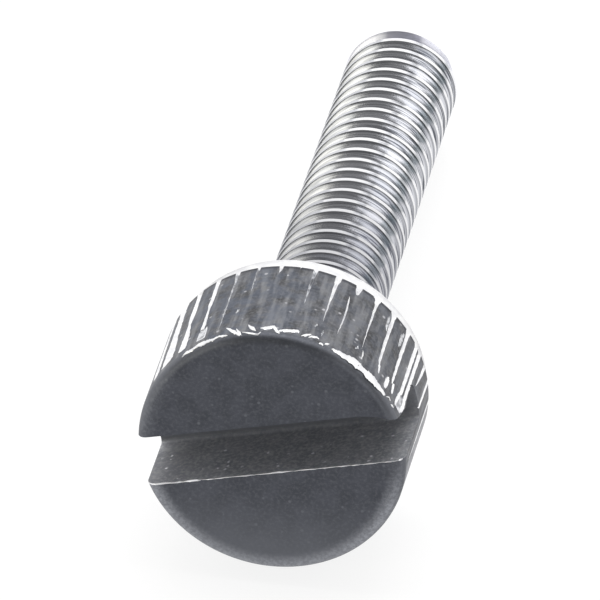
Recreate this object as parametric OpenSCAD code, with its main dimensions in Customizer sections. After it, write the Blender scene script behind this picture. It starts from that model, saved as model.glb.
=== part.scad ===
// Thumb screw, turned from one bar: a tall knurled head with a
// screwdriver slot across its face, and an M4 shank.
//
// The screw is drawn upright on its own axis, face down at height 0
// and tip up. It is then laid down as it comes to rest on a table:
// the head towards -Y, the tip towards +Y, touching the table at the
// back end of the knurl and at the tip, with the table at Z = 0.
// All sizes are in millimetres and degrees.

/* [Head] */
// Diameter over the knurl
head_d = 9; // [7:0.1:14]
// Height of the head, from its slotted face to its underside
head_h = 5.4; // [4.5:0.1:9]
// Radius of the rounded edge round the slotted face
face_round = 0.35; // [0.1:0.05:0.6]
// Length of the plain collar behind the knurl
collar_len = 0.77; // [0.4:0.01:1.2]
// Step down from the floor of the knurl's grooves to the collar
collar_step = 0.01; // [0.01:0.01:0.2]
// Chamfer on the collar's back edge
collar_chamfer = 0.05; // [0.02:0.01:0.2]

/* [Knurl] */
// Full teeth round the head
knurl_teeth = 37; // [24:1:44]
// Angle of the narrow tooth where the knurl closes on itself
knurl_seam = 6.2; // [4:0.1:7]
// Depth of the grooves
knurl_depth = 0.17; // [0.1:0.01:0.3]
// Width of each groove at the top of the teeth
groove_w = 0.17; // [0.1:0.01:0.3]
// Distance from the face to the front end of the grooves
knurl_start = 0.3; // [0:0.05:0.6]

/* [Slot] */
// Width of the screwdriver slot
slot_w = 1.8; // [0.8:0.1:2.4]
// Depth of the slot below the face
slot_depth = 2.9; // [1.5:0.1:3.5]
// Distance of the slot's centre line from the screw's axis
slot_offset = 0.18; // [0:0.01:0.3]
// Turn of the slot from level, seen from the front
slot_angle = 13.6; // [-30:0.1:30]
// Radius in the two corners of the slot's floor
slot_fillet = 0.25; // [0.1:0.05:0.4]

/* [Shank] */
// Outside diameter of the thread
thread_d = 4; // [2:0.5:6]
// Length from the underside of the head to the tip
thread_len = 20; // [6:1:40]
// Chamfer at the tip
tip_chamfer = 0.4; // [0.2:0.1:0.6]

/* [Hidden] */
$fn = 96;

head_r = head_d / 2;
collar_r = head_r - knurl_depth - collar_step;
thread_r = thread_d / 2;
full_len = head_h + thread_len;

// Heights along the axis, from the slotted face
knurl_end = head_h - collar_len;
tip_edge = full_len - tip_chamfer;

// The angle from one groove to the next, and the angle about the axis
// of the side that faces the table. The screw stands on the two edges
// of the groove that is there.
tooth_angle = (360 - knurl_seam) / knurl_teeth;
table_side = 90;

// How the screw lies: the tip is lower than the head because the shank
// is thinner, so the axis dips by this angle
rest_tilt = atan((head_r - thread_r) / (tip_edge - knurl_end));
rest_height = head_r * cos(rest_tilt) + knurl_end * sin(rest_tilt);

// Ends of the laid screw along Y, measured from the centre of the face:
// the rounded lower edge of the face, and the upper edge of the tip
front_y = face_round * (cos(rest_tilt) - 1) - (head_r - face_round) * sin(rest_tilt);
back_y = full_len * cos(rest_tilt) + (thread_r - tip_chamfer) * sin(rest_tilt);

// A cut runs past the surface it leaves through by this much
past = 1;

// Half outline of the head, turned about the axis. The edge round the
// face is added to it by face_corner().
module head_outline() {
    polygon([
        [0, 0],
        [head_r - face_round, 0],
        [head_r - face_round, face_round],
        [head_r, face_round],
        [head_r, knurl_end],
        [collar_r, knurl_end],
        [collar_r, head_h - collar_chamfer],
        [collar_r - collar_chamfer, head_h],
        [0, head_h],
    ]);
}

module face_corner() {
    translate([head_r - face_round, face_round])
        intersection() {
            circle(r = face_round);
            translate([0, -face_round])
                square(face_round);
        }
}

module head_blank() {
    rotate_extrude()
        union() {
            head_outline();
            face_corner();
        }
}

// One V groove of the knurl, at angle 0. It runs out over the collar.
module knurl_groove() {
    slope = groove_w / 2 / knurl_depth;
    top = past * slope;
    translate([0, 0, knurl_start])
        linear_extrude(height = head_h + past)
            polygon([
                [head_r - knurl_depth, 0],
                [head_r + past, groove_w / 2 + top],
                [head_r + past, -groove_w / 2 - top],
            ]);
}

// The grooves start at one side of the narrow tooth and end at the other
module knurl_grooves() {
    for (i = [0 : knurl_teeth])
        rotate([0, 0, table_side + (i - floor(knurl_teeth / 2)) * tooth_angle])
            knurl_groove();
}

// Cross-section of the slot: the floor's corners are rounded
module slot_section() {
    straight = slot_depth - slot_fillet;
    translate([-slot_w / 2, -past])
        square([slot_w, straight + past]);
    translate([-slot_w / 2 + slot_fillet, -past])
        square([slot_w - 2 * slot_fillet, slot_depth + past]);
    for (side = [-1, 1])
        translate([side * (slot_w / 2 - slot_fillet), straight])
            circle(r = slot_fillet);
}

module slot() {
    rotate([0, 0, -slot_angle])
        translate([-head_r - past, -slot_offset, 0])
            rotate([90, 0, 90])
                linear_extrude(height = head_d + 2 * past)
                    slot_section();
}

// The thread's outer surface stands as a plain cylinder
module shank() {
    translate([0, 0, head_h - past])
        cylinder(r = thread_r, h = thread_len - tip_chamfer + past);
    translate([0, 0, tip_edge])
        cylinder(r1 = thread_r, r2 = thread_r - tip_chamfer, h = tip_chamfer);
}

module upright_screw() {
    difference() {
        head_blank();
        knurl_grooves();
        slot();
    }
    shank();
}

module thumb_screw() {
    color("silver")
        translate([0, -(front_y + back_y) / 2, rest_height])
            rotate([-90 - rest_tilt, 0, 0])
                upright_screw();
}

thumb_screw();
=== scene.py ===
import math
import random

import bmesh
import bpy
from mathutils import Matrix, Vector


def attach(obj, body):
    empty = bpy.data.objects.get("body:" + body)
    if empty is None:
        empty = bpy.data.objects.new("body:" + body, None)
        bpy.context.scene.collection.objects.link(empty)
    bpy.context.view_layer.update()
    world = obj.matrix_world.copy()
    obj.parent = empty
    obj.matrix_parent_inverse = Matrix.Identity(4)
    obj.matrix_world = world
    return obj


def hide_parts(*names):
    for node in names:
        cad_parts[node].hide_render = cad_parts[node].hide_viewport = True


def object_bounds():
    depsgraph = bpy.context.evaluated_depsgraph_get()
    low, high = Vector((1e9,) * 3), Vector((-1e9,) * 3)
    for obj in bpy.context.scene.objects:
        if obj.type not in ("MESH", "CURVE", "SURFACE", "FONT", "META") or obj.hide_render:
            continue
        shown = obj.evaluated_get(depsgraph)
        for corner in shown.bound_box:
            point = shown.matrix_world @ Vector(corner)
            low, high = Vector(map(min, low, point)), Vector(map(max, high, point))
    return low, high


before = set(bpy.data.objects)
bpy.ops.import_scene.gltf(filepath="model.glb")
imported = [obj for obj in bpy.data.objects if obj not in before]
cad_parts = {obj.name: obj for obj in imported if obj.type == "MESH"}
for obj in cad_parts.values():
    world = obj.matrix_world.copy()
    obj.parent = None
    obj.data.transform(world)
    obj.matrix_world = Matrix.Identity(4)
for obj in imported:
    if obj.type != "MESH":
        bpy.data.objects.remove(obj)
cad_box = [list(corner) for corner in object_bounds()]

# ---------------------------------------------------------------------------
# Head blank
# The real head is turned on the end of the bar: a plain disc with a rounded
# edge round its face, and a thinner collar behind the knurl.
# ---------------------------------------------------------------------------
head_r = 4.5
head_h = 5.4
knurl_end = 4.63
face_round = 0.35
collar_r = 4.32
collar_chamfer = 0.05
rim_sides = 370
# Heights nearer than this count as level
level_slack = 0.001


def pick(piece, kind, test):
    """Selects the parts that pass the test in the mesh open for editing."""
    mesh = bmesh.from_edit_mesh(piece.data)
    bpy.ops.mesh.select_mode(type=kind)
    bpy.ops.mesh.select_all(action="DESELECT")
    parts = {"VERT": mesh.verts, "EDGE": mesh.edges, "FACE": mesh.faces}[kind]
    for part in parts:
        part.select_set(test(part))
    mesh.select_flush_mode()
    bmesh.update_edit_mesh(piece.data)


def level(part):
    """The heights along the axis that an edge or face spans."""
    heights = [v.co.z for v in part.verts]
    return min(heights), max(heights)


def lies_at(part, height):
    """Whether an edge or face is level and at this height."""
    low, high = level(part)
    return abs(low - height) < level_slack and abs(high - height) < level_slack


# The load leaves the CAD's piece selected. A new piece deselects all others.
bpy.ops.object.select_all(action="DESELECT")
bpy.ops.mesh.primitive_cylinder_add(
    vertices=rim_sides, radius=head_r, depth=knurl_end, location=(0, 0, knurl_end / 2)
)
head = bpy.context.object
head.name = "knurled_head"
bpy.ops.object.transform_apply(location=True, rotation=True, scale=True)
bpy.ops.object.mode_set(mode="EDIT")
pick(head, "FACE", lambda f: lies_at(f, knurl_end))
bpy.ops.mesh.inset(thickness=head_r - collar_r)
bpy.ops.mesh.extrude_region_move(
    TRANSFORM_OT_translate={"value": (0, 0, head_h - knurl_end)}
)
pick(head, "EDGE", lambda e: lies_at(e, head_h))
bpy.ops.mesh.bevel(offset=collar_chamfer, segments=2)
pick(head, "EDGE", lambda e: lies_at(e, 0))
bpy.ops.mesh.bevel(offset=face_round, segments=8)
bpy.ops.object.mode_set(mode="OBJECT")

# ---------------------------------------------------------------------------
# Finishes of the head
# The whole screw is steel with a thin zinc plate. It is dull and blue-grey
# where the plate lies on cut metal, and bright where a tool has rubbed it.
# ---------------------------------------------------------------------------


def colour(code):
    """Turns an sRGB hex value such as #808080 to linear."""
    steps = [int(code[i : i + 2], 16) / 255 for i in (1, 3, 5)]
    return [c / 12.92 if c < 0.04045 else ((c + 0.055) / 1.055) ** 2.4 for c in steps] + [1]


def add(material, kind, inputs=None, **settings):
    """Adds one node with its settings, input values and links. An input is a
    value, a hex colour, an output, or a node whose first output is linked."""
    node = material.node_tree.nodes.new(kind)
    for name, value in settings.items():
        setattr(node, name, value)
    for name, value in (inputs or {}).items():
        if isinstance(value, bpy.types.Node):
            value = next(output for output in value.outputs if output.enabled)
        if isinstance(value, bpy.types.NodeSocket):
            material.node_tree.links.new(value, node.inputs[name])
        else:
            node.inputs[name].default_value = colour(value) if isinstance(value, str) else value
    return node


# Settings shared by many nodes. A colour mix takes its share as Factor and
# its two colours as inputs 6 and 7.
soft = {"interpolation_type": "SMOOTHSTEP"}
mixed = {"data_type": "RGBA"}


def new_material(name):
    """A material with no nodes yet."""
    material = bpy.data.materials.new(name)
    material.use_nodes = True
    material.node_tree.nodes.clear()
    return material


def finish_material(material, shader):
    """Puts the shader on the material's output."""
    add(material, "ShaderNodeOutputMaterial", {"Surface": shader.outputs["BSDF"]})


# How the screw lies: on the back end of the knurl and on the tip, so that
# its axis dips towards the tip. The frame is in metres.
mm = 0.001
shank_len = 20.0
thread_r = 2.0
tip_chamfer = 0.4
full_len = head_h + shank_len
dip = math.atan((head_r - thread_r) / (full_len - tip_chamfer - knurl_end))
face_front = face_round * (math.cos(dip) - 1) - (head_r - face_round) * math.sin(dip)
face_y = cad_box[0][1] / mm - face_front
face_z = head_r * math.cos(dip) + knurl_end * math.sin(dip)
lie_turn = (-math.pi / 2 - dip, 0, 0)
lie_place = (0, face_y * mm, face_z * mm)
lie_scale = (mm, mm, mm)


def screw_place(material):
    """Place on the upright screw, in millimetres, of what is being shaded."""
    place = add(material, "ShaderNodeTexCoord").outputs["Object"]
    return add(material, "ShaderNodeMapping", {
        "Vector": place, "Location": lie_place, "Rotation": lie_turn, "Scale": lie_scale,
    }, vector_type="TEXTURE").outputs["Vector"]


def off_axis(material, split):
    """Distance from the screw's axis, in millimetres."""
    flat = add(material, "ShaderNodeCombineXYZ", {"X": split.outputs["X"], "Y": split.outputs["Y"]})
    return add(material, "ShaderNodeVectorMath", {0: flat}, operation="LENGTH").outputs["Value"]


def clouded(material, place, per_mm, dark, light, spread=0.15, detail=3.0):
    """A base colour that drifts softly between two tones."""
    clouds = add(material, "ShaderNodeTexNoise", {"Vector": place, "Scale": per_mm, "Detail": detail})
    cloudy = add(material, "ShaderNodeMapRange", {
        "Value": clouds, "From Min": 0.5 - spread, "From Max": 0.5 + spread,
    }, **soft)
    return add(material, "ShaderNodeMix", {"Factor": cloudy, 6: dark, 7: light}, **mixed)


def band(material, value, rise, fall, share=1.0):
    """Where a value has risen over one stretch and not yet fallen over another."""
    risen = add(material, "ShaderNodeMapRange", {
        "Value": value, "From Min": rise[0], "From Max": rise[1], "To Max": share,
    }, **soft)
    fallen = add(material, "ShaderNodeMapRange", {
        "Value": value, "From Min": fall[0], "From Max": fall[1],
    }, **soft)
    return add(material, "ShaderNodeMath", {0: risen, 1: fallen}, operation="MULTIPLY")


def specks(material, place, per_mm, share):
    """Chips of clean metal: a small mark in a share of the pattern's cells."""
    cells = add(material, "ShaderNodeTexVoronoi", {"Vector": place, "Scale": per_mm})
    draws = add(material, "ShaderNodeSeparateColor", {"Color": cells.outputs["Color"]})
    few = add(material, "ShaderNodeMath", {0: draws, 1: share}, operation="LESS_THAN")
    near = add(material, "ShaderNodeMapRange", {
        "Value": cells.outputs["Distance"], "From Min": 0.34, "From Max": 0.12,
    }, **soft)
    return add(material, "ShaderNodeMath", {0: few, 1: near}, operation="MULTIPLY")


def plated(material, place, base, roughness, grain, bump):
    """The metal shader, with a fine grain on the surface."""
    clouds = add(material, "ShaderNodeTexNoise", {
        "Vector": place, "Scale": grain, "Detail": 4.0, "Roughness": 0.6,
    })
    relief = add(material, "ShaderNodeBump", {
        "Height": clouds, "Strength": 0.3, "Distance": bump * mm,
    })
    shader = add(material, "ShaderNodeBsdfPrincipled", {
        "Base Color": base, "Metallic": 1.0, "Roughness": roughness, "Normal": relief,
    })
    finish_material(material, shader)


# Turned face, zinc plated: the fine turning marks are covered by the plate,
# so it is an even satin blue-grey. Its dark tone is partly the plate's own and partly painted shade, for
# the dark surroundings that the face reflects, and a painted reflection of the floor makes it lighter
# towards its lower rim
satin_face = new_material("zinc_plate_on_turned_face")
place = screw_place(satin_face)
base = clouded(satin_face, place, 1.1, "#484a50", "#505259")
grain = add(satin_face, "ShaderNodeTexNoise", {
    "Vector": place, "Scale": 8.0, "Detail": 4.0, "Roughness": 0.65,
})
fine = add(satin_face, "ShaderNodeMapRange", {
    "Value": grain, "From Min": 0.42, "From Max": 0.72, "To Max": 0.5,
}, **soft)
base = add(satin_face, "ShaderNodeMix", {"Factor": fine, 6: base, 7: "#65676d"}, **mixed)
chips = specks(satin_face, place, per_mm=4.5, share=0.08)
base = add(satin_face, "ShaderNodeMix", {"Factor": chips, 6: base, 7: "#62646a"}, **mixed)
split = add(satin_face, "ShaderNodeSeparateXYZ", {"Vector": place})
reach = off_axis(satin_face, split)
# Painted reflection of the floor: lighter towards the bottom of the face
low = add(satin_face, "ShaderNodeMapRange", {
    "Value": split.outputs["Y"], "From Min": 1.0, "From Max": 4.6, "To Max": 0.75,
}, **soft)
base = add(satin_face, "ShaderNodeMix", {"Factor": low, 6: base, 7: "#6c6e74"}, **mixed)
# Towards the rim, a painted reflection of the floor: lighter below and at the
# left, while the rounded edge above keeps the tone of the flat
painted_rim_reflection = add(satin_face, "ShaderNodeMapRange", {
    "Value": reach, "From Min": 3.8, "From Max": 4.34, "To Max": 0.75,
}, **soft)
rim_end = add(satin_face, "ShaderNodeMapRange", {
    "Value": reach, "From Min": 4.5, "From Max": 4.36, "To Min": 0.4,
}, **soft)
painted_rim_reflection = add(satin_face, "ShaderNodeMath", {0: painted_rim_reflection, 1: rim_end}, operation="MULTIPLY")
below = add(satin_face, "ShaderNodeMapRange", {
    "Value": split.outputs["Y"], "From Min": -1.0, "From Max": 2.0,
}, **soft)
left = add(satin_face, "ShaderNodeMapRange", {
    "Value": split.outputs["X"], "From Min": -3.0, "From Max": -4.2, "To Max": 0.25,
}, **soft)
side = add(satin_face, "ShaderNodeMath", {0: below, 1: left}, operation="MAXIMUM")
painted_rim_reflection = add(satin_face, "ShaderNodeMath", {0: painted_rim_reflection, 1: side}, operation="MULTIPLY")
grainy = add(satin_face, "ShaderNodeMapRange", {
    "Value": grain, "From Min": 0.35, "From Max": 0.65, "To Min": 0.68, "To Max": 1.25,
}, **soft)
painted_rim_reflection = add(satin_face, "ShaderNodeMath", {0: painted_rim_reflection, 1: grainy}, operation="MULTIPLY")
base = add(satin_face, "ShaderNodeMix", {"Factor": painted_rim_reflection, 6: base, 7: "#9a9ca2"}, **mixed)
# A painted highlight along the upper part of the rounded edge, weaker in the middle
painted_edge_highlight = add(satin_face, "ShaderNodeMapRange", {
    "Value": reach, "From Min": 4.2, "From Max": 4.46, "To Max": 0.45,
}, **soft)
above = add(satin_face, "ShaderNodeMapRange", {
    "Value": split.outputs["Y"], "From Min": 1.0, "From Max": -1.0,
}, **soft)
painted_edge_highlight = add(satin_face, "ShaderNodeMath", {0: painted_edge_highlight, 1: above}, operation="MULTIPLY")
sideways = add(satin_face, "ShaderNodeMath", {0: split.outputs["X"]}, operation="ABSOLUTE")
sideways = add(satin_face, "ShaderNodeMapRange", {
    "Value": sideways, "From Min": 1.2, "From Max": 2.4, "To Min": 0.35,
}, **soft)
painted_edge_highlight = add(satin_face, "ShaderNodeMath", {0: painted_edge_highlight, 1: sideways}, operation="MULTIPLY")
base = add(satin_face, "ShaderNodeMix", {"Factor": painted_edge_highlight, 6: base, 7: "#8c8e94"}, **mixed)
plated(satin_face, place, base, roughness=0.5, grain=4.0, bump=0.006)

# Knurl land, plated over the bar's drawn skin: mottled grey with marks
# that run lengthwise, and a dark line where the land ends at the step
rolled_land = new_material("zinc_plate_on_knurl_land")
place = screw_place(rolled_land)
split = add(rolled_land, "ShaderNodeSeparateXYZ", {"Vector": place})
base = clouded(rolled_land, place, 1.6, "#464648", "#606166", detail=4.0)
# Lighter low on the right, a painted reflection of light along that side, below a darker strip along the
# slot's end
right = add(rolled_land, "ShaderNodeMapRange", {
    "Value": split.outputs["X"], "From Min": 3.9, "From Max": 4.4,
}, **soft)
low = add(rolled_land, "ShaderNodeMapRange", {
    "Value": split.outputs["Y"], "From Min": -0.7, "From Max": -0.3, "To Max": 0.8,
}, **soft)
dark = add(rolled_land, "ShaderNodeMath", {0: right, 1: low}, operation="MULTIPLY")
base = add(rolled_land, "ShaderNodeMix", {"Factor": dark, 6: base, 7: "#3a3a3e"}, **mixed)
low = add(rolled_land, "ShaderNodeMapRange", {
    "Value": split.outputs["Y"], "From Min": -0.05, "From Max": 0.2, "To Max": 0.7,
}, **soft)
painted_side_light = add(rolled_land, "ShaderNodeMath", {0: right, 1: low}, operation="MULTIPLY")
light_patch_noise = add(rolled_land, "ShaderNodeTexNoise", {
    "Vector": place, "Scale": 3.5, "Detail": 4.0, "Roughness": 0.65,
})
patchy = add(rolled_land, "ShaderNodeMapRange", {
    "Value": light_patch_noise, "From Min": 0.38, "From Max": 0.56, "To Min": 0.4, "To Max": 1.1,
}, **soft)
painted_side_light = add(rolled_land, "ShaderNodeMath", {0: painted_side_light, 1: patchy}, operation="MULTIPLY")
base = add(rolled_land, "ShaderNodeMix", {"Factor": painted_side_light, 6: base, 7: "#b0b0b6"}, **mixed)
mottle = add(rolled_land, "ShaderNodeTexNoise", {"Vector": place, "Scale": 9.0, "Detail": 4.0})
patches = add(rolled_land, "ShaderNodeMapRange", {
    "Value": mottle, "From Min": 0.4, "From Max": 0.75, "To Max": 0.45,
}, **soft)
base = add(rolled_land, "ShaderNodeMix", {"Factor": patches, 6: base, 7: "#87888b"}, **mixed)
stretched = add(rolled_land, "ShaderNodeVectorMath", {0: place, 1: (4.5, 4.5, 0.5)}, operation="MULTIPLY")
long_marks = add(rolled_land, "ShaderNodeTexNoise", {"Vector": stretched, "Scale": 1.0, "Detail": 3.0})
streaks = add(rolled_land, "ShaderNodeMapRange", {
    "Value": long_marks, "From Min": 0.42, "From Max": 0.66, "To Max": 0.5,
}, **soft)
base = add(rolled_land, "ShaderNodeMix", {"Factor": streaks, 6: base, 7: "#96979a"}, **mixed)
drift = add(rolled_land, "ShaderNodeTexNoise", {"Vector": place, "Scale": 2.6, "Detail": 1.0})
tint = add(rolled_land, "ShaderNodeMapRange", {
    "Value": drift, "From Min": 0.35, "From Max": 0.65,
}, **soft)
blue = add(rolled_land, "ShaderNodeMapRange", {
    "Value": split.outputs["X"], "From Min": 1.5, "From Max": -1.5, "To Min": 0.22, "To Max": 0.5,
}, **soft)
tint = add(rolled_land, "ShaderNodeMath", {0: tint, 1: blue}, operation="MULTIPLY")
base = add(rolled_land, "ShaderNodeMix", {"Factor": tint, 6: base, 7: "#5c6474"}, **mixed)
chips = specks(rolled_land, place, per_mm=4.0, share=0.08)
base = add(rolled_land, "ShaderNodeMix", {"Factor": chips, 6: base, 7: "#b4b4b8"}, **mixed)
back_end = add(rolled_land, "ShaderNodeMapRange", {
    "Value": split.outputs["Z"], "From Min": 4.42, "From Max": 4.56, "To Max": 0.75,
}, **soft)
base = add(rolled_land, "ShaderNodeMix", {"Factor": back_end, 6: base, 7: "#3c3c42"}, **mixed)
plated(rolled_land, place, base, roughness=0.45, grain=5.0, bump=0.012)

# Zinc plate rubbed bright by the knurling wheel and by the turning tool
burnished = new_material("zinc_plate_burnished")
place = screw_place(burnished)
base = clouded(burnished, place, 3.0, "#e4e4e7", "#f8f8f8", spread=0.2)
plated(burnished, place, base, roughness=0.3, grain=8.0, bump=0.006)

# Cut by a lathe tool and plated: an even satin grey, with rings as faint as
# the tool's feed left them
turned_metal = new_material("zinc_plate_on_turned_metal")
place = screw_place(turned_metal)
split = add(turned_metal, "ShaderNodeSeparateXYZ", {"Vector": place})
reach = off_axis(turned_metal, split)
rings = add(turned_metal, "ShaderNodeTexNoise", {
    "W": reach, "Scale": 14.0, "Detail": 2.0,
}, noise_dimensions="1D")
feed = add(turned_metal, "ShaderNodeMapRange", {"Value": rings, "From Min": 0.3, "From Max": 0.7}, **soft)
base = add(turned_metal, "ShaderNodeMix", {"Factor": feed, 6: "#a6a7ab", 7: "#b8b9bc"}, **mixed)
clouds = add(turned_metal, "ShaderNodeTexNoise", {"Vector": place, "Scale": 1.5, "Detail": 3.0})
cloudy = add(turned_metal, "ShaderNodeMapRange", {
    "Value": clouds, "From Min": 0.35, "From Max": 0.65, "To Max": 0.5,
}, **soft)
base = add(turned_metal, "ShaderNodeMix", {"Factor": cloudy, 6: base, 7: "#9c9da4"}, **mixed)
plated(turned_metal, place, base, roughness=0.4, grain=8.0, bump=0.002)

# Lightly rubbed plate, in the shallow marks: a pale grey, cloudy and matt
rubbed = new_material("zinc_plate_lightly_rubbed")
place = screw_place(rubbed)
base = clouded(rubbed, place, 4.0, "#a0a1a5", "#e0e1e4", spread=0.12)
plated(rubbed, place, base, roughness=0.45, grain=5.0, bump=0.012)

# The rim keeps the first finish. The face, the underside, and the collar
# with the step up to the rim have their own.
finishes = [rolled_land, satin_face, burnished, rubbed, turned_metal]
for finish in finishes:
    head.data.materials.append(finish)
for f in head.data.polygons:
    height = f.center.z
    if height < face_round:
        f.material_index = finishes.index(satin_face)
    elif height > head_h - collar_chamfer / 2:
        f.material_index = finishes.index(turned_metal)
    elif height > knurl_end - level_slack:
        f.material_index = finishes.index(burnished)

# ---------------------------------------------------------------------------
# Knurl
# Straight grooves are rolled along the rim by a toothed wheel. Each has its
# own depth, and opens out where it meets the step down to the collar.
# ---------------------------------------------------------------------------
teeth = 37
seam = 6.2
seam_place = 85.2
groove_depth = 0.17
pitch_angle = (360 - seam) / teeth

# Each groove by its number: rows of height above the face, and the angles
# round the head of its two edges there. It closes up at its front end.
groove_rows = {
    0: [(2.35, 82.5, 82.4), (3.3, 82.9, 82.0), (4.0, 83.0, 81.9), (4.65, 83.3, 81.3), (4.95, 83.6, 81.0)],
    1: [(1.7, 72.5, 72.4), (3.0, 72.8, 72.1), (4.1, 73.0, 71.5), (4.6, 73.4, 70.6), (4.95, 73.8, 70.0)],
    2: [(4.1, 62.7, 62.3), (4.16, 63.1, 61.7), (4.4, 63.5, 61.3), (4.65, 63.9, 60.8), (4.95, 64.4, 60.2)],
    3: [(1.4, 52.8, 52.7), (2.4, 53.1, 52.7), (3.0, 53.4, 52.6), (4.1, 53.5, 52.4),
        (4.45, 54.0, 51.9), (4.65, 55.2, 51.0), (4.95, 55.8, 50.4)],
    4: [(1.35, 42.6, 42.2), (1.6, 43.4, 42.3), (3.0, 43.9, 42.4), (4.35, 44.0, 42.3),
        (4.65, 45.0, 41.8), (4.95, 45.6, 41.2)],
    5: [(1.3, 33.0, 32.5), (1.5, 33.6, 32.4), (3.0, 34.1, 32.4), (4.35, 34.2, 32.2),
        (4.65, 34.8, 31.6), (4.95, 35.4, 31.0)],
    6: [(1.5, 26.4, 24.9), (1.6, 26.8, 24.8), (3.0, 26.8, 24.7), (4.4, 26.9, 24.7),
        (4.65, 27.5, 24.3), (4.95, 27.8, 24.0)],
    7: [(3.1, 17.3, 17.1), (3.4, 17.2, 16.4), (4.0, 16.9, 15.2), (4.65, 16.6, 14.4), (4.95, 16.6, 14.0)],
    8: [(2.8, 8.7, 8.2), (3.0, 9.2, 7.7), (4.0, 9.0, 7.2), (4.95, 9.0, 6.8)],
    9: [(0.8, -0.9, -1.2), (1.6, -1.1, -1.8), (3.0, -1.1, -2.2), (4.4, -0.8, -2.4), (4.95, -0.4, -2.8)],
    30: [(0.64, 153.6, 152.8), (0.7, 155.0, 151.9), (0.85, 155.9, 151.7), (1.5, 157.2, 152.2),
         (2.5, 158.0, 153.4), (4.95, 158.5, 154.5)],
    31: [(0.6, 145.4, 144.6), (0.65, 147.4, 142.2), (0.78, 148.0, 141.3), (1.3, 148.2, 141.6),
         (2.5, 148.5, 143.4), (4.3, 149.2, 144.6), (4.65, 150.4, 144.4), (4.95, 151.0, 143.8)],
    32: [(0.6, 135.0, 134.6), (0.65, 136.6, 132.9), (0.78, 136.9, 132.6), (1.6, 136.6, 133.2),
         (2.4, 136.6, 135.0), (3.0, 137.6, 134.6), (4.4, 137.5, 134.9), (4.65, 138.2, 134.6),
         (4.95, 138.6, 134.2)],
    33: [(1.35, 126.5, 124.7), (1.5, 126.5, 124.4), (1.7, 126.4, 124.5), (2.7, 126.3, 125.4),
         (3.0, 127.0, 125.0), (4.5, 127.1, 125.0), (4.95, 127.6, 124.4)],
    34: [(0.7, 116.1, 116.0), (1.5, 116.4, 115.9), (3.0, 116.5, 115.9), (3.9, 116.6, 115.7),
         (4.5, 117.3, 115.5), (4.95, 117.8, 115.2)],
    35: [(3.1, 106.9, 106.8), (3.6, 107.2, 106.7), (4.4, 107.4, 106.3), (4.95, 107.7, 106.0)],
    36: [(4.2, 97.1, 97.0), (4.3, 97.3, 96.6), (4.65, 98.1, 96.2), (4.95, 98.6, 95.6)],
    37: [(4.5, 88.8, 88.7), (4.65, 89.2, 88.4), (4.95, 89.6, 88.0)],
}
# The wheel slipped in places: second marks beside a groove, and bruises.
# Each has its own depth.
slip_rows = [
    (0.15, [(1.5, 23.0, 21.4), (1.6, 23.2, 21.2), (3.0, 23.3, 21.1), (4.4, 23.3, 21.0),
            (4.65, 23.8, 20.6), (4.95, 24.0, 20.4)]),
    (0.035, [(0.66, 26.0, 23.0), (0.8, 26.8, 21.6), (1.3, 26.2, 21.2), (1.5, 25.6, 22.6)]),
    (0.07, [(0.62, 27.2, 26.4), (0.8, 27.8, 26.3), (1.3, 27.4, 25.4), (1.6, 26.6, 25.0)]),
    (0.07, [(0.64, 26.6, 23.4), (0.7, 27.0, 23.0), (0.8, 26.0, 23.4)]),
    (0.07, [(0.7, 24.0, 22.6), (0.85, 23.2, 21.2), (1.2, 22.4, 20.5), (1.6, 23.0, 21.0)]),
    (0.03, [(3.35, 35.9, 35.6), (3.5, 36.5, 35.1), (4.1, 36.5, 35.0), (4.25, 36.0, 35.6)]),
    (0.06, [(0.66, 36.2, 35.4), (0.74, 36.8, 34.9), (1.2, 36.9, 34.9), (1.38, 36.2, 35.6)]),
    (0.1, [(0.84, 31.6, 31.0), (0.92, 32.0, 30.7), (1.3, 32.3, 30.9), (1.42, 32.1, 31.6)]),
    (0.1, [(0.98, 41.6, 41.2), (1.05, 41.9, 41.1), (1.35, 42.6, 41.5), (1.42, 42.4, 42.0)]),
    (0.05, [(0.85, 51.4, 51.2), (1.1, 51.7, 51.1), (1.35, 52.0, 51.6)]),
    (0.05, [(1.35, 65.0, 64.9), (2.2, 64.8, 64.2), (3.4, 65.1, 64.4), (3.8, 65.3, 65.1)]),
    (0.03, [(0.8, 71.1, 70.9), (1.0, 71.4, 70.6), (1.2, 71.2, 71.0)]),
    (0.03, [(1.2, 74.8, 74.6), (1.3, 75.0, 73.9), (1.42, 74.6, 74.3)]),
    (0.03, [(1.15, 55.4, 55.2), (1.25, 55.6, 54.2), (1.4, 55.0, 54.8)]),
    (0.03, [(0.6, 125.6, 123.4), (0.66, 126.5, 122.3), (1.2, 126.6, 122.5), (1.33, 126.0, 124.0)]),
    (0.07, [(0.64, 122.9, 122.5), (0.7, 123.3, 122.3), (1.3, 123.5, 122.9), (1.42, 123.4, 123.2)]),
    (0.03, [(1.7, 110.2, 109.8), (1.8, 110.5, 109.4), (1.95, 110.2, 109.7)]),
    (0.02, [(3.4, 44.6, 44.4), (3.7, 45.6, 44.6), (4.2, 45.8, 44.8), (4.3, 45.4, 45.2)]),
]
# The grooves round the back and underneath repeat these
repeated = [33, 32, 34, 37, 36, 4, 3, 33, 36, 35, 3]
# These grooves, and marks that are shallower than this, are lightly rubbed
pale = (0, 34, 35, 37)
pale_depth = 0.04
# A groove's cutter is shaped every so often along it, and stands out of the
# rim. No groove is deeper than a share of its width, or flares out further
# than this many degrees, and each is a little uneven in width and place.
groove_step = 0.16
groove_over = 0.3
groove_slant = 0.75
groove_flare = 12
thinnest = 0.01
uneven_share = 0.1
uneven_turn = 0.12
draw = random.Random(7)


def select_only(*pieces):
    """Selects these pieces and makes the first one active."""
    bpy.ops.object.select_all(action="DESELECT")
    for piece in pieces:
        piece.select_set(True)
    bpy.context.view_layer.objects.active = pieces[0]


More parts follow.
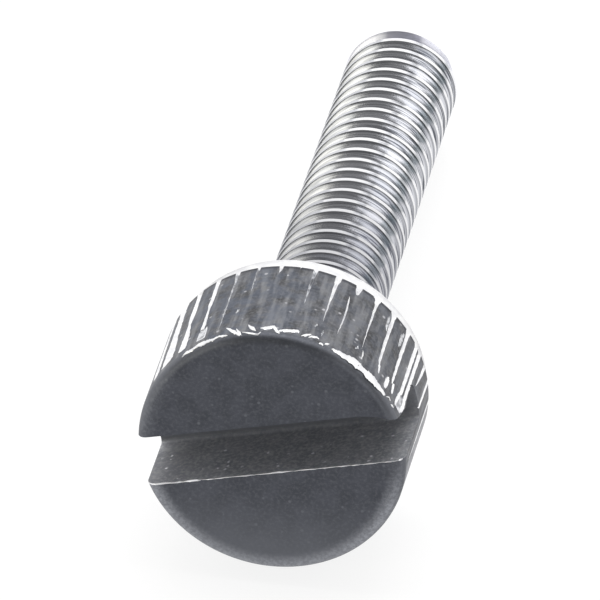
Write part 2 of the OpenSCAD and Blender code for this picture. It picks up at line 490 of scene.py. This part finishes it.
def apply_modifier(piece, kind, **settings):
    """Gives a piece one modifier and applies it."""
    select_only(piece)
    modifier = piece.modifiers.new(kind.lower(), kind)
    for name, value in settings.items():
        setattr(modifier, name, value)
    bpy.ops.object.modifier_apply(modifier=modifier.name)


def carve(piece, tool, operation="DIFFERENCE"):
    """Cuts a piece with a tool, whose finish stays on the cut."""
    apply_modifier(
        piece, "BOOLEAN", operation=operation, object=tool,
        solver="EXACT", material_mode="TRANSFER",
    )
    bpy.data.objects.remove(tool)


def shaped_bar(corners, steps, shape):
    """A bar cut across into steps. shape(step, x, y) places each corner."""
    bpy.ops.mesh.primitive_cylinder_add(vertices=corners, radius=1, depth=1)
    piece = bpy.context.object
    bpy.ops.object.mode_set(mode="EDIT")
    # The edges along the bar, which is 1 long
    pick(piece, "EDGE", lambda e: level(e)[1] - level(e)[0] > 0.5)
    bpy.ops.mesh.subdivide(number_cuts=steps - 1)
    mesh = bmesh.from_edit_mesh(piece.data)
    for v in mesh.verts:
        v.co = shape(round((v.co.z + 0.5) * steps), v.co.x, v.co.y)
    mesh.normal_update()
    bmesh.update_edit_mesh(piece.data)
    bpy.ops.mesh.select_all(action="SELECT")
    bpy.ops.mesh.normals_make_consistent(inside=False)
    bpy.ops.object.mode_set(mode="OBJECT")
    return piece


def between(rows, height):
    """The row at a height, worked out from the rows on either side of it."""
    for first, second in zip(rows, rows[1:]):
        if height <= second[0] or second is rows[-1]:
            share = (height - first[0]) / (second[0] - first[0])
            return [p + (q - p) * share for p, q in zip(first, second)]


def round_head(radius, face_angle, height):
    """A point by its angle, counted from the right and seen from the front."""
    turn = -math.radians(face_angle)
    return Vector((radius * math.cos(turn), radius * math.sin(turn), height))


def groove(rows, deepest, finish):
    """A cutter for one groove: a three-sided bar with its edge inwards."""
    heights = [rows[0][0]]
    for first, second in zip(rows, rows[1:]):
        parts = math.ceil((second[0] - first[0]) / groove_step)
        heights += [first[0] + (second[0] - first[0]) * (k + 1) / parts for k in range(parts)]
    cuts = []
    for height in heights:
        height, left, right = between(rows, height)
        half = (left - right) / 2 * (1 + draw.uniform(-uneven_share, uneven_share))
        middle = (left + right) / 2 + draw.uniform(-uneven_turn, uneven_turn)
        width = math.radians(2 * half) * head_r
        cuts.append((height, middle, half, min(deepest, groove_slant * width)))
    steps = len(cuts) - 1

    def shape(step, x, y):
        height, middle, half, depth = cuts[step]
        # One corner is the bottom of the groove, and two stand out of the rim
        if y > 0.5:
            return round_head(head_r - depth, middle, height)
        flare = half * (depth + groove_over) / max(depth, thinnest)
        turn = math.copysign(min(flare, half + groove_flare), x)
        return round_head(head_r + groove_over, middle + turn, height)

    cutter = shaped_bar(3, steps, shape)
    cutter.data.materials.append(finish)
    return cutter


def groove_angle(i):
    """The angle of a groove, by its number."""
    return seam_place - seam / 2 - i * pitch_angle


cutters = []
for i in range(teeth + 1):
    source = i if i in groove_rows else repeated[i % len(repeated)]
    shift = groove_angle(i) - groove_angle(source)
    rows = [(h, p + shift, q + shift) for h, p, q in groove_rows[source]]
    cutters.append(groove(rows, groove_depth, rubbed if source in pale else burnished))
select_only(*cutters)
bpy.ops.object.join()
carve(head, cutters[0])
for depth, rows in slip_rows:
    carve(head, groove(rows, depth, rubbed if depth < pale_depth else burnished))

# ---------------------------------------------------------------------------
# Slot
# A screwdriver slot is milled across the face, a little off the axis, with
# the cutter's rounded corners left along its floor.
# ---------------------------------------------------------------------------
slot_w = 1.8
slot_depth = 2.9
slot_offset = 0.18
slot_turn = 13.6
slot_fillet = 0.24
# The cutter runs past both ends of the slot, and past the face
slot_reach = 12
slot_past = 1
# At its right end the upper wall was knocked in when the knurl was rolled:
# how far, by place along the slot, and the share of it by depth
knocked_from = 3.3
knocked_in = [(knocked_from, 0.0), (3.8, 0.12), (4.1, 0.32), (4.28, 0.52), (4.46, 0.61), (7.0, 0.7)]
knocked_share = [(-1.1, 0.5), (0.1, 0.55), (0.6, 0.75), (1.4, 1.0), (2.2, 0.85), (3.0, 0.8)]
knocked_places = (knocked_from, 3.6, 3.9, 4.1, 4.2, 4.28, 4.37, 4.46, 4.6)
knocked_depths = (0.1, 0.35, 0.6, 1.0, 1.4, 1.8, 2.2)

bpy.ops.mesh.primitive_cube_add(size=1)
slot = bpy.context.object
slot.scale = (slot_reach, slot_w, slot_depth + slot_past)
slot.location = (0, -slot_offset, (slot_depth - slot_past) / 2)
bpy.ops.object.transform_apply(location=True, rotation=True, scale=True)
bpy.ops.object.mode_set(mode="EDIT")
pick(slot, "EDGE", lambda e: lies_at(e, slot_depth) and e.calc_length() > slot_reach / 2)
bpy.ops.mesh.bevel(offset=slot_fillet, segments=6)
for along in knocked_places:
    bpy.ops.mesh.select_all(action="SELECT")
    bpy.ops.mesh.bisect(plane_co=(along, 0, 0), plane_no=(1, 0, 0))
for deep in knocked_depths:
    bpy.ops.mesh.select_all(action="SELECT")
    bpy.ops.mesh.bisect(plane_co=(0, 0, deep), plane_no=(0, 0, 1))
mesh = bmesh.from_edit_mesh(slot.data)
for v in mesh.verts:
    if v.co.x > knocked_from and v.co.y < -slot_offset:
        v.co.y += between(knocked_in, v.co.x)[1] * between(knocked_share, v.co.z)[1]
mesh.normal_update()
bmesh.update_edit_mesh(slot.data)
bpy.ops.object.mode_set(mode="OBJECT")
slot.rotation_euler.z = -math.radians(slot_turn)
bpy.ops.object.transform_apply(location=True, rotation=True, scale=True)

# Milled steel under thin plate: a plain grey, with painted shade along the floor, a little weaker at the
# open right end, and chips of bright metal left along the walls
milled_slot = new_material("zinc_plate_in_milled_slot")
place = screw_place(milled_slot)
base = clouded(milled_slot, place, 1.5, "#a5a7ae", "#b4b5bb")
grain = add(milled_slot, "ShaderNodeTexNoise", {
    "Vector": place, "Scale": 8.0, "Detail": 3.0, "Roughness": 0.6,
})
fine = add(milled_slot, "ShaderNodeMapRange", {
    "Value": grain, "From Min": 0.4, "From Max": 0.68, "To Max": 0.7,
}, **soft)
base = add(milled_slot, "ShaderNodeMix", {"Factor": fine, 6: base, 7: "#d9dada"}, **mixed)
split = add(milled_slot, "ShaderNodeSeparateXYZ", {"Vector": place})
# Painted light: lighter towards the floor, lifting the shade in the corners
corner = add(milled_slot, "ShaderNodeMapRange", {
    "Value": split.outputs["Z"], "From Min": 2.3, "From Max": 2.7, "To Max": 0.12,
}, **soft)
base = add(milled_slot, "ShaderNodeMix", {"Factor": corner, 6: base, 7: "#e4e4e8"}, **mixed)
# Painted shade along the floor, weaker towards the open right end
away = add(milled_slot, "ShaderNodeMapRange", {
    "Value": split.outputs["X"], "From Min": 4.6, "From Max": 3.6, "To Min": 0.6, "To Max": 0.95,
}, **soft)
floor = add(milled_slot, "ShaderNodeMapRange", {
    "Value": split.outputs["Z"], "From Min": 2.72, "From Max": 2.88,
}, **soft)
painted_floor_shade = add(milled_slot, "ShaderNodeMath", {0: floor, 1: away}, operation="MULTIPLY")
base = add(milled_slot, "ShaderNodeMix", {"Factor": painted_floor_shade, 6: base, 7: "#5e6066"}, **mixed)
# Painted shade: the walls are darker towards the left end
left = add(milled_slot, "ShaderNodeMapRange", {
    "Value": split.outputs["X"], "From Min": -2.0, "From Max": -3.6, "To Max": 0.5,
}, **soft)
wall = add(milled_slot, "ShaderNodeMapRange", {
    "Value": split.outputs["Z"], "From Min": 2.6, "From Max": 1.8,
}, **soft)
left = add(milled_slot, "ShaderNodeMath", {0: left, 1: wall}, operation="MULTIPLY")
base = add(milled_slot, "ShaderNodeMix", {"Factor": left, 6: base, 7: "#707074"}, **mixed)
# The chips are on the walls, and have ragged outlines
ruffled = add(milled_slot, "ShaderNodeTexNoise", {"Vector": place, "Scale": 9.0, "Detail": 2.0})
ruffled = add(milled_slot, "ShaderNodeVectorMath", {
    0: ruffled.outputs["Color"], 1: (0.16, 0.16, 0.16), 2: place,
}, operation="MULTIPLY_ADD")
chips = specks(milled_slot, ruffled, per_mm=3.9, share=0.18)
chips = add(milled_slot, "ShaderNodeMath", {0: chips, 1: wall}, operation="MULTIPLY")
base = add(milled_slot, "ShaderNodeMix", {"Factor": chips, 6: base, 7: "#f8f8fc"}, **mixed)
plated(milled_slot, place, base, roughness=0.65, grain=6.0, bump=0.02)
head.data.materials.append(milled_slot)
slot.data.materials.append(milled_slot)
carve(head, slot)


def smooth_and_close(piece):
    """Merges doubles, turns faces outwards and shades curves smooth."""
    select_only(piece)
    bpy.ops.object.mode_set(mode="EDIT")
    bpy.ops.mesh.select_all(action="SELECT")
    bpy.ops.mesh.remove_doubles(threshold=0.0002)
    bpy.ops.mesh.normals_make_consistent(inside=False)
    bpy.ops.object.mode_set(mode="OBJECT")
    bpy.ops.object.shade_smooth_by_angle(angle=math.radians(30))


def lay_down(piece):
    """Lays a finished upright piece on the table, in metres."""
    select_only(piece)
    piece.scale = lie_scale
    piece.rotation_euler = lie_turn
    piece.location = lie_place
    bpy.ops.object.transform_apply(location=True, rotation=True, scale=True)


smooth_and_close(head)
lay_down(head)
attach(head, "root")
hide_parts("thumb_screw")

# ---------------------------------------------------------------------------
# Burrs
# The knurling wheel pushed metal over the edge of the face, and the milling
# cutter raised a thin edge along the slot. Both were left on, and are bright.
# ---------------------------------------------------------------------------
# Each burr: its points in order, by angle round the head, by distance back
# from the front of the rim, and by width
rim_burrs = [
    [(133.5, 0.1, 0.02), (131, 0.18, 0.1), (128.5, 0.14, 0.1), (126, 0.22, 0.08),
     (124, 0.25, 0.14), (121.5, 0.2, 0.18), (119, 0.24, 0.14), (117, 0.2, 0.1),
     (114.5, 0.32, 0.1), (112.5, 0.25, 0.1), (110.5, 0.22, 0.02)],
    [(112.2, 0.78, 0.03), (110, 0.6, 0.09), (107.5, 0.35, 0.12), (105, 0.08, 0.03)],
    [(107.2, 0.58, 0.03), (105.8, 0.36, 0.09), (104.4, 0.1, 0.02)],
    [(102.3, 0.75, 0.03), (100.4, 0.55, 0.13), (98.2, 0.33, 0.03)],
    [(104, 0.3, 0.02), (100.5, 0.18, 0.06), (97, 0.1, 0.05), (96, 0.25, 0.02)],
    [(96.6, 0.5, 0.03), (94.8, 0.54, 0.15), (93, 0.6, 0.16), (91.6, 0.66, 0.14),
     (90.6, 0.58, 0.1), (89.4, 0.38, 0.08), (88, 0.26, 0.02)],
    [(89.5, 0.3, 0.02), (88, 0.44, 0.1), (86.5, 0.5, 0.14), (84.5, 0.55, 0.14), (82.5, 0.6, 0.15),
     (81.2, 0.66, 0.12), (80.4, 0.52, 0.02)],
    [(79, 0.4, 0.02), (77.6, 0.5, 0.1), (76, 0.62, 0.07), (75.2, 0.68, 0.02)],
    [(76, 0.45, 0.02), (74.5, 0.55, 0.1), (72.8, 0.62, 0.09), (71.5, 0.56, 0.02)],
    [(71, 0.3, 0.02), (70, 0.36, 0.12), (69, 0.3, 0.02)],
    [(68.6, 0.4, 0.02), (67.8, 0.48, 0.1), (66.8, 0.56, 0.02)],
    [(65, 0.33, 0.04), (64.4, 0.35, 0.1), (62, 0.36, 0.2), (59, 0.36, 0.23), (56, 0.38, 0.34),
     (53, 0.4, 0.38), (51, 0.38, 0.3), (49, 0.36, 0.24), (46.5, 0.36, 0.33), (43.5, 0.37, 0.41),
     (41, 0.36, 0.33), (39, 0.34, 0.24), (37, 0.34, 0.2), (35.2, 0.34, 0.14), (34.4, 0.34, 0.03)],
    [(33.6, 0.35, 0.02), (32, 0.5, 0.05), (30.5, 0.45, 0.02)],
    [(29.6, 0.32, 0.02), (28.4, 0.4, 0.07), (27.4, 0.38, 0.02)],
]
# Along the slot's lower edge: distance from the middle, and width
lip_burr = [
    (-4.44, 0.03), (-4.3, 0.09), (-4.12, 0.07), (-3.9, 0.09), (-3.5, 0.06), (-3.3, 0.09), (-3.15, 0.03),
    (-2.95, 0.11), (-2.7, 0.1), (-2.55, 0.025), (-2.35, 0.03), (-2.25, 0.09), (-2.1, 0.03), (-1.9, 0.06),
    (-1.5, 0.025), (-1.2, 0.05), (-0.9, 0.07), (-0.7, 0.02), (-0.5, 0.03), (-0.1, 0.07), (0.15, 0.09),
    (0.4, 0.06), (0.6, 0.02), (0.8, 0.03), (1.1, 0.06), (1.3, 0.065), (1.5, 0.02), (1.7, 0.05), (2.1, 0.03),
    (2.35, 0.07), (2.6, 0.02), (2.75, 0.07), (2.95, 0.02), (3.3, 0.06), (3.5, 0.025), (3.75, 0.03),
    (3.9, 0.07), (4.0, 0.05), (4.1, 0.03), (4.2, 0.02), (4.26, 0.08), (4.31, 0.1), (4.35, 0.03),
]
# How high a burr stands, its sides, and its parts from one point to the next.
# Each part strays a little in width and, in a burr that isn't fine, in place.
burr_rise = 0.02
burr_sides = 8
burr_parts = 4
burr_fine = 0.05
burr_ragged = 0.02
burr_widths = (0.95, 1.45)
lip_parts = 3
lip_ragged = 0.008
lip_width = 0.7
# The burrs lie on the rounded edge from this many degrees round it
edge_from = 50


def on_edge(face_angle, back_by):
    """A spot of the rim's surface and the way it faces, at a distance back."""
    if back_by >= face_round:
        return round_head(head_r, face_angle, back_by), round_head(1, face_angle, 0)
    around = math.radians(edge_from + (90 - edge_from) * back_by / face_round)
    reach = head_r - face_round + face_round * math.sin(around)
    spot = round_head(reach, face_angle, face_round * (1 - math.cos(around)))
    return spot, round_head(math.sin(around), face_angle, -math.cos(around))


def on_lip(along, sway, width):
    """A spot of the slot's lower lip, which drops where the rim is rounded,
    the way it faces, and its width."""
    spot = slot_way * along + lip + sway
    past_flat = max(0, min(spot.length - head_r + face_round, face_round))
    spot.z = face_round - math.sqrt(face_round**2 - past_flat**2)
    return spot, Vector((0, 0, -1)), width


def burr(spots):
    """A thin ridge through spots of (place, outward, width)."""
    steps = len(spots) - 1

    def shape(step, x, y):
        spot, outward, width = spots[step]
        ahead = spots[min(step + 1, steps)][0] - spots[max(step - 1, 0)][0]
        across = ahead.cross(outward).normalized()
        return spot + across * x * width / 2 + outward * y * min(burr_rise, width / 2)

    return shaped_bar(burr_sides, steps, shape)


burrs = []
for points in rim_burrs:
    spots = []
    for first, second in zip(points, points[1:]):
        for k in range(burr_parts):
            angle, back_by, width = [p + (q - p) * k / burr_parts for p, q in zip(first, second)]
            ragged = draw.uniform(-burr_ragged, burr_ragged) if width > burr_fine else 0
            spots.append((*on_edge(angle, back_by + ragged), width * draw.uniform(*burr_widths)))
    spots.append((*on_edge(*points[-1][:2]), points[-1][2]))
    burrs.append(burr(spots))
slot_way = Vector((math.cos(math.radians(slot_turn)), -math.sin(math.radians(slot_turn)), 0))
slot_side = Vector((slot_way.y, -slot_way.x, 0))
lip = slot_side * (slot_offset - slot_w / 2)
spots = []
for first, second in zip(lip_burr, lip_burr[1:]):
    for k in range(lip_parts):
        along, width = [p + (q - p) * k / lip_parts for p, q in zip(first, second)]
        sway = slot_side * draw.uniform(-lip_ragged, lip_ragged)
        spots.append(on_lip(along, sway, width * lip_width))
spots.append(on_lip(lip_burr[-1][0], slot_side * 0, lip_burr[-1][1]))
burrs.append(burr(spots))

select_only(*burrs)
bpy.ops.object.join()
edge_burrs = burrs[0]
edge_burrs.name = "edge_burrs"
edge_burrs.data.materials.append(burnished)
smooth_and_close(edge_burrs)
lay_down(edge_burrs)
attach(edge_burrs, "root")
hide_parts("thumb_screw")

# ---------------------------------------------------------------------------
# Threaded shank
# The M4 thread is rolled: the metal is pressed up between two dies, which
# leaves smooth flanks, round roots and a fine fold along each crest.
# ---------------------------------------------------------------------------
thread_pitch = 0.7
root_r = 1.57
thread_start = 0.06
turn_steps = 96
thread_profile = [
    (root_r, 0),
    (root_r + 0.02, 0.03),
    (thread_r - 0.07, 0.215),
    (thread_r - 0.02, 0.242),
    (thread_r, 0.262),
    (thread_r - 0.006, 0.35),
    (thread_r, 0.438),
    (thread_r - 0.02, 0.458),
    (thread_r - 0.07, 0.485),
    (root_r + 0.02, 0.67),
    (root_r, thread_pitch),
]
# The shank runs a little way into the head. The helix has turns to spare, so
# that it passes both ends of the shank, and is cut off there.
shank_foot = head_h - 0.3
spare_turns = 3
turns = math.ceil(shank_len / thread_pitch) + spare_turns

bpy.ops.mesh.primitive_plane_add(size=0.1)
shank = bpy.context.object
shank.name = "threaded_shank"
bpy.ops.object.mode_set(mode="EDIT")
bpy.ops.mesh.select_mode(type="VERT")
bpy.ops.mesh.select_all(action="SELECT")
bpy.ops.mesh.merge(type="CENTER")
for k, (radius, height) in enumerate(thread_profile):
    if k:
        bpy.ops.mesh.extrude_region_move()
    mesh = bmesh.from_edit_mesh(shank.data)
    for v in mesh.verts:
        if v.select:
            v.co = (radius, 0, height)
    bmesh.update_edit_mesh(shank.data)
bpy.ops.object.mode_set(mode="OBJECT")
apply_modifier(
    shank, "SCREW", axis="Z", angle=2 * math.pi, screw_offset=thread_pitch,
    iterations=turns, steps=turn_steps, render_steps=turn_steps,
    use_merge_vertices=True, merge_threshold=0.0005, use_smooth_shade=True,
)
bpy.ops.object.mode_set(mode="EDIT")
bpy.ops.mesh.select_all(action="SELECT")
bpy.ops.mesh.remove_doubles(threshold=0.0005)
below_head = math.floor((shank_foot - thread_start) / thread_pitch) - 1
bpy.ops.transform.translate(value=(0, 0, thread_start + below_head * thread_pitch))
for cut, clear_above in ((shank_foot, False), (full_len, True)):
    bpy.ops.mesh.select_all(action="SELECT")
    bpy.ops.mesh.bisect(
        plane_co=(0, 0, cut), plane_no=(0, 0, 1), use_fill=True,
        clear_inner=not clear_above, clear_outer=clear_above, threshold=0.00001,
    )
bpy.ops.mesh.select_all(action="SELECT")
bpy.ops.mesh.normals_make_consistent(inside=False)
bpy.ops.object.mode_set(mode="OBJECT")

# At the tip the last turn runs out on the end, with its edge just broken
broken_edge = 0.08
sleeve_gap = 0.001
sleeve_len = shank_len + 1
bpy.ops.mesh.primitive_cylinder_add(
    vertices=turn_steps, radius=thread_r + sleeve_gap, depth=sleeve_len,
    location=(0, 0, full_len - sleeve_len / 2),
)
sleeve = bpy.context.object
bpy.ops.object.transform_apply(location=True, rotation=True, scale=True)
bpy.ops.object.mode_set(mode="EDIT")
pick(sleeve, "EDGE", lambda e: lies_at(e, full_len))
bpy.ops.mesh.bevel(offset=broken_edge, segments=1)
bpy.ops.object.mode_set(mode="OBJECT")
carve(shank, sleeve, operation="INTERSECT")

# Rolled thread, zinc plated: glossy flanks with fine lines that follow the
# helix, and crests rubbed bright. Painted highlights, shade and reflections lie over it as well
rolled_thread = new_material("zinc_plate_on_rolled_thread")
place = screw_place(rolled_thread)
split = add(rolled_thread, "ShaderNodeSeparateXYZ", {"Vector": place})
# Turns counted along the helix: the fraction is the place over the profile,
# 0 at the root and 0.5 at the crest
around = add(rolled_thread, "ShaderNodeMath", {
    0: split.outputs["Y"], 1: split.outputs["X"],
}, operation="ARCTAN2")
turned = add(rolled_thread, "ShaderNodeMath", {0: around, 1: 1 / (2 * math.pi)}, operation="MULTIPLY")
height = add(rolled_thread, "ShaderNodeMath", {
    0: split.outputs["Z"], 1: thread_start,
}, operation="SUBTRACT")
height = add(rolled_thread, "ShaderNodeMath", {0: height, 1: 1 / thread_pitch}, operation="MULTIPLY")
turn_count = add(rolled_thread, "ShaderNodeMath", {0: height, 1: turned}, operation="SUBTRACT")
over_profile = add(rolled_thread, "ShaderNodeMath", {0: turn_count}, operation="FRACT")
base = clouded(rolled_thread, place, 1.2, "#b9bbc2", "#c9cacf")
# The flanks are painted lighter in front and low on the right: a painted reflection
front = band(rolled_thread, turned, (-0.31, -0.29), (-0.185, -0.2), share=0.8)
low_right = add(rolled_thread, "ShaderNodeMapRange", {
    "Value": turned, "From Min": -0.08, "From Max": -0.06, "To Max": 0.6,
}, **soft)
painted_flank_reflection = add(rolled_thread, "ShaderNodeMath", {0: front, 1: low_right}, operation="MAXIMUM")
base = add(rolled_thread, "ShaderNodeMix", {"Factor": painted_flank_reflection, 6: base, 7: "#e9eaf0"}, **mixed)
# Fine dark lines follow the helix, plainest on the right
stretched = add(rolled_thread, "ShaderNodeMath", {0: turn_count, 1: 19.0}, operation="MULTIPLY")
along_helix = add(rolled_thread, "ShaderNodeCombineXYZ", {
    "X": split.outputs["X"], "Y": split.outputs["Y"], "Z": stretched,
})
waves = add(rolled_thread, "ShaderNodeVectorMath", {
    0: along_helix, 1: (0.3, 0.3, 1.0),
}, operation="MULTIPLY")
lines = add(rolled_thread, "ShaderNodeTexNoise", {"Vector": waves, "Scale": 1.0, "Detail": 1.0})
level_line = add(rolled_thread, "ShaderNodeMath", {0: lines, 1: 0.5}, operation="SUBTRACT")
level_line = add(rolled_thread, "ShaderNodeMath", {0: level_line}, operation="ABSOLUTE")
dark_lines = add(rolled_thread, "ShaderNodeMapRange", {
    "Value": level_line, "From Min": 0.07, "From Max": 0.02,
}, **soft)
right = add(rolled_thread, "ShaderNodeMapRange", {
    "Value": turned, "From Min": -0.24, "From Max": -0.16, "To Min": 0.4, "To Max": 0.9,
}, **soft)
dark_lines = add(rolled_thread, "ShaderNodeMath", {0: dark_lines, 1: right}, operation="MULTIPLY")
base = add(rolled_thread, "ShaderNodeMix", {"Factor": dark_lines, 6: base, 7: "#4d515a"}, **mixed)
# A dark line of painted shade lies close under each crest
near_crest = band(rolled_thread, over_profile, (0.27, 0.33), (0.39, 0.36), share=0.45)
base = add(rolled_thread, "ShaderNodeMix", {"Factor": near_crest, 6: base, 7: "#6c6e72"}, **mixed)
# A dark strip along the shank at the right, a painted dark reflection
noisy = add(rolled_thread, "ShaderNodeTexNoise", {"Vector": place, "Scale": 1.5, "Detail": 2.0})
wander = add(rolled_thread, "ShaderNodeMath", {0: noisy, 1: 0.5}, operation="SUBTRACT")
spot = add(rolled_thread, "ShaderNodeMath", {0: wander, 1: 0.06, 2: turned}, operation="MULTIPLY_ADD")
painted_dark_reflection = band(rolled_thread, spot, (-0.125, -0.105), (-0.07, -0.085), share=0.5)
base = add(rolled_thread, "ShaderNodeMix", {"Factor": painted_dark_reflection, 6: base, 7: "#6c7a80"}, **mixed)
# The crest is rubbed bright and painted lighter still as a highlight, except in three stretches round the
# shank where a painted dark reflection dims it
crest = band(rolled_thread, over_profile, (0.35, 0.37), (0.65, 0.63))
for start, end, dimming_share in ((-0.42, -0.3, 0.75), (-0.209, -0.182, 0.85), (-0.11, -0.075, 0.7)):
    painted_dimming = band(
        rolled_thread, spot, (start - 0.01, start + 0.01), (end + 0.008, end - 0.008), share=dimming_share,
    )
    bright = add(rolled_thread, "ShaderNodeMath", {0: 1.0, 1: painted_dimming}, operation="SUBTRACT")
    crest = add(rolled_thread, "ShaderNodeMath", {0: crest, 1: bright}, operation="MULTIPLY")
base = add(rolled_thread, "ShaderNodeMix", {"Factor": crest, 6: base, 7: "#f0f0f2"}, **mixed)
# It grows duller towards the head, and the last turn is painted a pale lilac, lighter than the rest as a
# painted reflection and greyer in front
near_head = add(rolled_thread, "ShaderNodeMapRange", {
    "Value": split.outputs["Z"], "From Min": 18.0, "From Max": 9.0, "To Max": 0.42,
}, **soft)
base = add(rolled_thread, "ShaderNodeMix", {"Factor": near_head, 6: base, 7: "#525360"}, **mixed)
lilac = add(rolled_thread, "ShaderNodeMix", {"Factor": front, 6: "#f6f6ff", 7: "#b0b0c0"}, **mixed)
last_turn = add(rolled_thread, "ShaderNodeMapRange", {
    "Value": split.outputs["Z"], "From Min": 24.75, "From Max": 25.2, "To Max": 0.8,
}, **soft)
base = add(rolled_thread, "ShaderNodeMix", {"Factor": last_turn, 6: base, 7: lilac}, **mixed)
matt = add(rolled_thread, "ShaderNodeMapRange", {
    "Value": split.outputs["Z"], "From Min": 18.0, "From Max": 9.0, "To Min": 0.2, "To Max": 0.25,
}, **soft)
matt_tip = add(rolled_thread, "ShaderNodeMapRange", {
    "Value": split.outputs["Z"], "From Min": 24.6, "From Max": 25.2, "To Max": 0.19,
}, **soft)
matt = add(rolled_thread, "ShaderNodeMath", {0: matt, 1: matt_tip}, operation="ADD")
plated(rolled_thread, place, base, roughness=matt, grain=8.0, bump=0.004)
shank.data.materials.clear()
shank.data.materials.append(rolled_thread)
shank.data.materials.append(turned_metal)
for f in shank.data.polygons:
    f.material_index = 1 if f.center.z > full_len - level_slack else 0
smooth_and_close(shank)
lay_down(shank)
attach(shank, "root")
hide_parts("thumb_screw")

# ---------------------------------------------------------------------------
# Table
# A plain sheet of white paper, wide enough to fill the view from low down.
# ---------------------------------------------------------------------------
table_size = 6
bpy.ops.mesh.primitive_plane_add(size=table_size)
table = bpy.context.object
table.name = "table"
# White paper, lit so evenly that it keeps only a faint shadow of the screw
paper = new_material("white_paper")
rays = add(paper, "ShaderNodeLightPath")
seen = add(paper, "ShaderNodeMath", {
    0: rays.outputs["Is Camera Ray"], 1: rays.outputs["Is Glossy Ray"],
}, operation="MAXIMUM")
seen = add(paper, "ShaderNodeMath", {
    0: seen, 1: rays.outputs["Is Transmission Ray"],
}, operation="MAXIMUM")
glow = add(paper, "ShaderNodeMath", {0: seen, 1: 0.83}, operation="MULTIPLY")
sheet = add(paper, "ShaderNodeBsdfPrincipled", {
    "Base Color": "#7c7c7c", "Roughness": 0.9, "Emission Color": "#ffffff", "Emission Strength": glow,
})
finish_material(paper, sheet)
table.data.materials.append(paper)

# ---------------------------------------------------------------------------
# Light
# A white backdrop behind the screw, a dim room in front of it, a soft box
# overhead and a low one on each side of the front.
# ---------------------------------------------------------------------------
world = bpy.data.worlds.new("studio_room")
bpy.context.scene.world = world
world.use_nodes = True
room = world.node_tree.nodes["Background"]
way = add(world, "ShaderNodeTexCoord")
behind = add(world, "ShaderNodeSeparateXYZ", {"Vector": way.outputs["Generated"]})
brightness = add(world, "ShaderNodeMapRange", {
    "Value": behind.outputs["Y"], "From Min": -0.3, "From Max": 0.2, "To Min": 0.22, "To Max": 1.2,
}, **soft)
world.node_tree.links.new(brightness.outputs["Result"], room.inputs["Strength"])
room.inputs["Color"].default_value = colour("#ffffff")


def soft_box(name, place, wide, high, brightness, tint):
    """A lamp at a place in metres, turned to face the screw."""
    bpy.ops.object.light_add(type="AREA", location=place)
    lamp = bpy.context.object
    lamp.name = name
    lamp.data.shape = "RECTANGLE"
    lamp.data.size = wide
    lamp.data.size_y = high
    lamp.data.color = tint
    lamp.data.energy = brightness * math.pi * wide * high
    lamp.rotation_euler = (-Vector(place)).to_track_quat("-Z", "Y").to_euler()


soft_box("soft_box_left", (-0.77, -0.86, 0.33), wide=0.6, high=0.75, brightness=2.1, tint=(1.0, 0.98, 0.87))
soft_box("soft_box_right", (0.56, -1.0, 0.35), wide=0.55, high=0.66, brightness=1.9, tint=(1.0, 1.0, 1.0))
soft_box("soft_box_above", (0.0, 0.4, 1.1), wide=0.8, high=0.8, brightness=2.0, tint=(1.0, 1.0, 1.0))

# ---------------------------------------------------------------------------
# Camera
# A long lens, looking down on the face and along the shank.
# ---------------------------------------------------------------------------
camera_turn = math.radians(10.26)
camera_rise = math.radians(37.59)
camera_far = 0.45215
aim_right = 0.0009715
aim_up = 0.005087
right = Vector((math.cos(camera_turn), math.sin(camera_turn), 0))
back = Vector((
    math.sin(camera_turn) * math.cos(camera_rise),
    -math.cos(camera_turn) * math.cos(camera_rise),
    math.sin(camera_rise),
))
up = back.cross(right)
aim = Vector(lie_place) + aim_right * right + aim_up * up
bpy.ops.object.camera_add(location=aim + back * camera_far)
camera = bpy.context.object
camera.rotation_euler = (math.pi / 2 - camera_rise, 0, camera_turn)
camera.data.sensor_width = 36
camera.data.lens = 821.5
camera.data.clip_start = 0.01
camera.data.clip_end = 20
bpy.context.scene.camera = camera

bpy.context.scene.view_settings.view_transform = "Standard"
